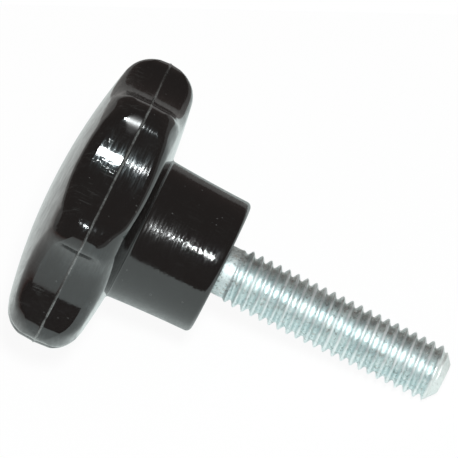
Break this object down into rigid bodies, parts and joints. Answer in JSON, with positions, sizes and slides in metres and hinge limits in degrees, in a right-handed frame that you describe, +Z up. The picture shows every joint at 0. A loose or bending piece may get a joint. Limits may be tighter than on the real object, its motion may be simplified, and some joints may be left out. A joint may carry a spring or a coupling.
{
  "type": "star knob screw",
  "caption": "Star-shaped hand knob with a domed crown and a round boss, moulded round a threaded steel stud that is screwed in by hand to clamp or set something.",
  "frame": {"origin": "centre of the boss's end face, on the screw's axis", "axes": "+Z up, with the screw lying as it rests on a bench: on two neighbouring lobes and on the stud's tip. The screw's axis lies in the XZ plane and slopes down along +X from the knob to the tip, and the part is symmetric about that plane"},
  "size_m": [0.0443, 0.0316, 0.0299],
  "materials": {
    "black_phenolic": "moulded gloss with fine scratches",
    "zinc_plated_steel": "bright zinc plate"
  },
  "bodies": {
    "root": {"knob": "black_phenolic", "threaded_stud": "zinc_plated_steel"}
  },
  "joints": []
}
